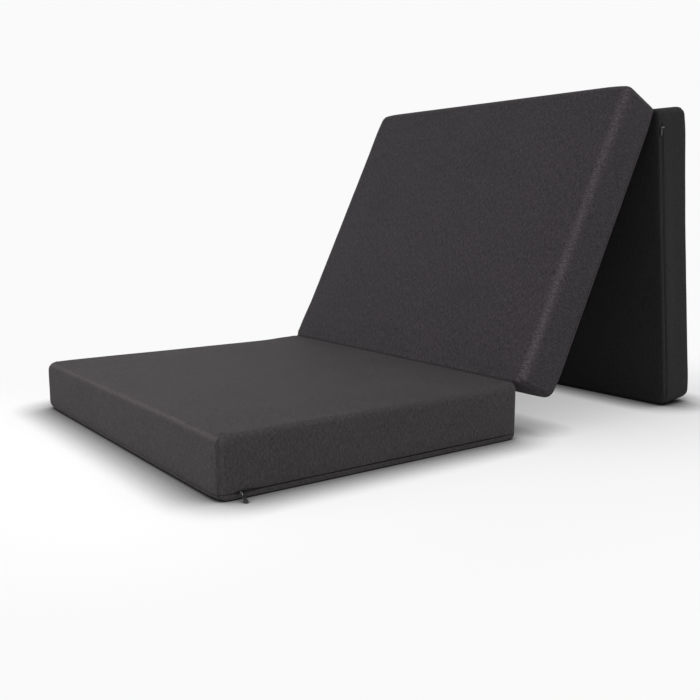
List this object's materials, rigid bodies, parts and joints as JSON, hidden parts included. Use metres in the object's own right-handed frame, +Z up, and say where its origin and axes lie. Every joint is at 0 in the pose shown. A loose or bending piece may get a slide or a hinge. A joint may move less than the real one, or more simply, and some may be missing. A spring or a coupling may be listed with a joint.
{
  "type": "folding mattress",
  "caption": "Tri-fold foam mattress in zipped dark grey cloth cases, standing folded as a low floor seat with a leaning backrest and a rear prop.",
  "frame": {"origin": "centre of the front panel's flat underside, on the floor", "axes": "+Z up; +Y runs from the front panel back towards the backrest, square to the hinge lines; +X runs along the hinge lines to the side with the front panel's zip"},
  "size_m": [0.814, 1.1861, 0.6675],
  "materials": {
    "cover_fabric": "dark charcoal melange woven cloth",
    "underside_fabric": "near-black woven cloth",
    "binding_fabric": "dark cloth binding",
    "comfort_foam": "soft open-cell foam, hidden",
    "base_foam": "firm open-cell foam, hidden",
    "zip_tape": "black woven tape",
    "zip_nylon": "black nylon coil",
    "zip_metal": "black lacquered die-cast metal"
  },
  "bodies": {
    "front_panel": {"front_cover": "cover_fabric", "front_underside": "underside_fabric", "front_comfort_foam": "comfort_foam", "front_base_foam": "base_foam", "front_zip_upper_tape": "zip_tape", "front_zip_lower_tape": "zip_tape", "front_zip_chain": "zip_nylon", "front_zip_near_stop": "zip_metal", "front_zip_far_stop": "zip_metal", "front_hinge_binding": "binding_fabric"},
    "front_slider": {"front_zip_slider": "zip_metal"},
    "front_ring": {"front_zip_ring": "zip_metal"},
    "front_tab": {"front_zip_tab": "zip_metal"},
    "middle_panel": {"middle_cover": "cover_fabric", "middle_underside": "underside_fabric", "middle_comfort_foam": "comfort_foam", "middle_base_foam": "base_foam", "middle_zip_upper_tape": "zip_tape", "middle_zip_lower_tape": "zip_tape", "middle_zip_chain": "zip_nylon", "middle_zip_near_stop": "zip_metal", "middle_zip_far_stop": "zip_metal", "rear_hinge_binding": "binding_fabric"},
    "middle_slider": {"middle_zip_slider": "zip_metal"},
    "middle_ring": {"middle_zip_ring": "zip_metal"},
    "middle_tab": {"middle_zip_tab": "zip_metal"},
    "rear_panel": {"rear_cover": "cover_fabric", "rear_underside": "underside_fabric", "rear_comfort_foam": "comfort_foam", "rear_base_foam": "base_foam", "rear_zip_upper_tape": "zip_tape", "rear_zip_lower_tape": "zip_tape", "rear_zip_chain": "zip_nylon", "rear_zip_near_stop": "zip_metal", "rear_zip_far_stop": "zip_metal"},
    "rear_slider": {"rear_zip_slider": "zip_metal"},
    "rear_ring": {"rear_zip_ring": "zip_metal"},
    "rear_tab": {"rear_zip_tab": "zip_metal"}
  },
  "joints": [
    {"name": "front_fold", "type": "hinge", "parent": "front_panel", "child": "middle_panel", "pos_m": [0, 0.3175, 0.1053], "axis": [1, 0, 0], "range_deg": [-63.71, 116.29]},
    {"name": "rear_fold", "type": "hinge", "parent": "middle_panel", "child": "rear_panel", "pos_m": [0, 0.69346, 0.62782], "axis": [1, 0, 0], "range_deg": [-33.29, 146.71]},
    {"name": "front_slider_run", "type": "slide", "parent": "front_panel", "child": "front_slider", "axis": [0, 1, 0], "range_m": [0, 0.5564]},
    {"name": "front_ring_swing", "type": "hinge", "parent": "front_slider", "child": "front_ring", "pos_m": [0.3965, -0.2782, 0.011], "axis": [0, 1, 0], "range_deg": [-118.5, 61.49]},
    {"name": "front_tab_swing", "type": "hinge", "parent": "front_ring", "child": "front_tab", "pos_m": [0.40133, -0.2782, 0.00838], "axis": [0.4772, 0, 0.8788], "range_deg": [-90, 90]},
    {"name": "middle_slider_run", "type": "slide", "parent": "middle_panel", "child": "middle_slider", "axis": [0, 0.443, 0.8965], "range_m": [0, 0.5564]},
    {"name": "middle_ring_swing", "type": "hinge", "parent": "middle_slider", "child": "middle_ring", "pos_m": [-0.3965, 0.41945, 0.09876], "axis": [0, -0.443, -0.8965], "range_deg": [-180, 0]},
    {"name": "middle_tab_swing", "type": "hinge", "parent": "middle_ring", "child": "middle_tab", "pos_m": [-0.3965, 0.42438, 0.09632], "axis": [-1, 0, 0], "range_deg": [-153.71, 26.29]},
    {"name": "rear_slider_run", "type": "slide", "parent": "rear_panel", "child": "rear_slider", "axis": [0, 0.1219, -0.9925], "range_m": [0, 0.5564]},
    {"name": "rear_ring_swing", "type": "hinge", "parent": "rear_slider", "child": "rear_ring", "pos_m": [0.3965, 0.70947, 0.59019], "axis": [0, 0.1219, -0.9925], "range_deg": [-180, 0]},
    {"name": "rear_tab_swing", "type": "hinge", "parent": "rear_ring", "child": "rear_tab", "pos_m": [0.3965, 0.70401, 0.58952], "axis": [1, 0, 0], "range_deg": [-173, 7]}
  ]
}
